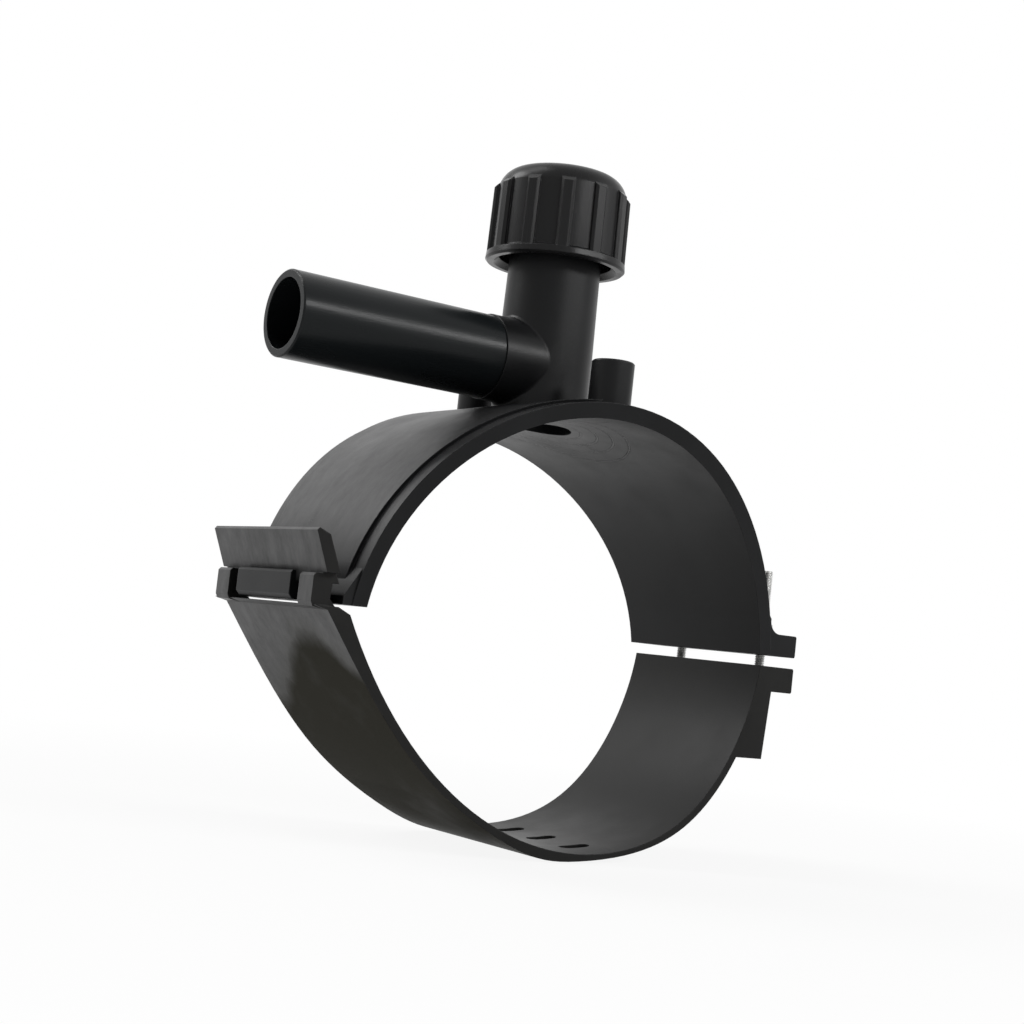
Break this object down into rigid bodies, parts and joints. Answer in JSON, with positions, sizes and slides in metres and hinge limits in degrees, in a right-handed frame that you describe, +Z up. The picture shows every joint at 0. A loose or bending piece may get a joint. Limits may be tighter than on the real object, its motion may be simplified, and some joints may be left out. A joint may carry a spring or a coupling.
{
  "type": "electrofusion tapping saddle",
  "caption": "Black polyethylene saddle that fuses onto a main, with a capped tapping stack, a side outlet spigot, shrouded terminals and a bolted strap that wraps under the pipe.",
  "frame": {"origin": "on the axis of the main, straight below the stack", "axes": "+Y along the main, +Z up the stack, the outlet and the hook side towards -X, the bolted flanges towards +X"},
  "size_m": [0.2228, 0.1156, 0.2627],
  "materials": {
    "pe_black": "satin moulded",
    "cap_black": "satin moulded",
    "strap_black": "satin moulded",
    "zinc_steel": "zinc plated",
    "terminal_brass": "turned",
    "cutter_brass": "turned",
    "coil_wire": "drawn wire",
    "seal_rubber": "moulded"
  },
  "bodies": {
    "saddle": {"saddle_body": "pe_black", "outlet_spigot": "pe_black", "heating_coil": "coil_wire", "terminal_pin_front": "terminal_brass", "terminal_pin_rear": "terminal_brass", "washer_top_front": "zinc_steel", "washer_top_rear": "zinc_steel"},
    "cap_lift": {"cap_seal": "seal_rubber"},
    "cap": {"cap": "cap_black"},
    "cutter_feed": {"cutter_seal": "seal_rubber"},
    "cutter": {"cutter": "cutter_brass"},
    "strap": {"strap": "strap_black", "bolt_front": "zinc_steel", "bolt_rear": "zinc_steel", "washer_low_front": "zinc_steel", "washer_low_rear": "zinc_steel"},
    "nut_front": {"nut_front": "zinc_steel"},
    "nut_rear": {"nut_rear": "zinc_steel"}
  },
  "joints": [
    {"name": "cap_rise", "type": "slide", "parent": "saddle", "child": "cap_lift", "axis": [0, 0, 1], "range_m": [0, 0.018]},
    {"name": "cap_turn", "type": "hinge", "parent": "cap_lift", "child": "cap", "pos_m": [0, 0, 0.17], "axis": [0, 0, 1], "range_deg": [0, 2160]},
    {"name": "cutter_sink", "type": "slide", "parent": "saddle", "child": "cutter_feed", "axis": [0, 0, -1], "range_m": [0, 0.058]},
    {"name": "cutter_turn", "type": "hinge", "parent": "cutter_feed", "child": "cutter", "pos_m": [0, 0, 0.15], "axis": [0, 0, -1], "range_deg": [0, 6960]},
    {"name": "strap_close", "type": "hinge", "parent": "saddle", "child": "strap", "pos_m": [-0.1025, 0, 0.0187], "axis": [0, -1, 0], "range_deg": [0, 1.1]},
    {"name": "nut_turn_front", "type": "hinge", "parent": "saddle", "child": "nut_front", "pos_m": [0.1042, -0.025, 0.023], "axis": [0, 0, -1], "range_deg": [0, 2040]},
    {"name": "nut_turn_rear", "type": "hinge", "parent": "saddle", "child": "nut_rear", "pos_m": [0.1042, 0.025, 0.023], "axis": [0, 0, -1], "range_deg": [0, 2040]}
  ],
  "couplings": [
    {"joint": "cap_rise", "follows": "cap_turn", "m_per_rad": 0.000477},
    {"joint": "cutter_sink", "follows": "cutter_turn", "m_per_rad": 0.000477},
    {"joint": "nut_turn_front", "follows": "strap_close", "ratio": 1850},
    {"joint": "nut_turn_rear", "follows": "strap_close", "ratio": 1850}
  ]
}
